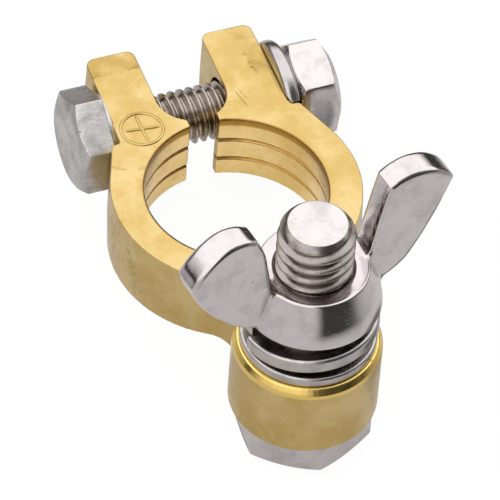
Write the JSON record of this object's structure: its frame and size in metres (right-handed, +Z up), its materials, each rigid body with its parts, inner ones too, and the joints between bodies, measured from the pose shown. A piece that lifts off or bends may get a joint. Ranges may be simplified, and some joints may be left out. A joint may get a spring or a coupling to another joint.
{
  "type": "battery post clamp",
  "caption": "Brass ring clamp for a battery post, drawn shut by a hex bolt across two ears, with an upright stud, washers and a wing nut for cable lugs.",
  "frame": {"origin": "on the post bore's axis at the underside of the ring", "axes": "+Z up along the bore and the stud, out of the bore's chamfered mouth; +X along the clamp bolt from its head to its nut; the clamping ears point to +Y and the stud stands at -Y"},
  "size_m": [0.031, 0.0498, 0.034],
  "materials": {
    "body_brass": "tumbled and polished, faint casting pits",
    "clamp_hardware": "brushed stainless steel",
    "stud_hardware": "polished stainless steel",
    "wing_nut_chrome": "polished, soft reflections"
  },
  "bodies": {
    "clamp": {"clamp_body": "body_brass", "clamp_bolt": "clamp_hardware", "stud_bolt": "stud_hardware"},
    "flat_washer": {"stud_flat_washer": "stud_hardware"},
    "spring_washer": {"stud_spring_washer": "stud_hardware"},
    "wing_nut": {"wing_nut": "wing_nut_chrome"},
    "lock_washer": {"clamp_lock_washer": "clamp_hardware"},
    "clamp_nut": {"clamp_nut": "clamp_hardware"}
  },
  "joints": [
    {"name": "wing_nut_travel", "type": "slide", "parent": "clamp", "child": "spring_washer", "axis": [0, 0, 1], "range_m": [0, 0.01058]},
    {"name": "wing_nut_turn", "type": "hinge", "parent": "spring_washer", "child": "wing_nut", "pos_m": [0, -0.02085, 0.01405], "axis": [0, 0, 1], "range_deg": [0, 2701]},
    {"name": "flat_washer_travel", "type": "slide", "parent": "clamp", "child": "flat_washer", "axis": [0, 0, 1], "range_m": [0, 0.00954]},
    {"name": "clamp_nut_travel", "type": "slide", "parent": "clamp", "child": "lock_washer", "axis": [1, 0, 0], "range_m": [0, 0.0045]},
    {"name": "clamp_nut_turn", "type": "hinge", "parent": "lock_washer", "child": "clamp_nut", "pos_m": [0.01075, 0.01435, 0.00422], "axis": [1, 0, 0], "range_deg": [0, 1621]}
  ],
  "couplings": [
    {"joint": "wing_nut_turn", "follows": "wing_nut_travel", "rad_per_m": 4452.7},
    {"joint": "flat_washer_travel", "follows": "wing_nut_travel", "ratio": 0.9},
    {"joint": "clamp_nut_turn", "follows": "clamp_nut_travel", "rad_per_m": 6283.2}
  ]
}
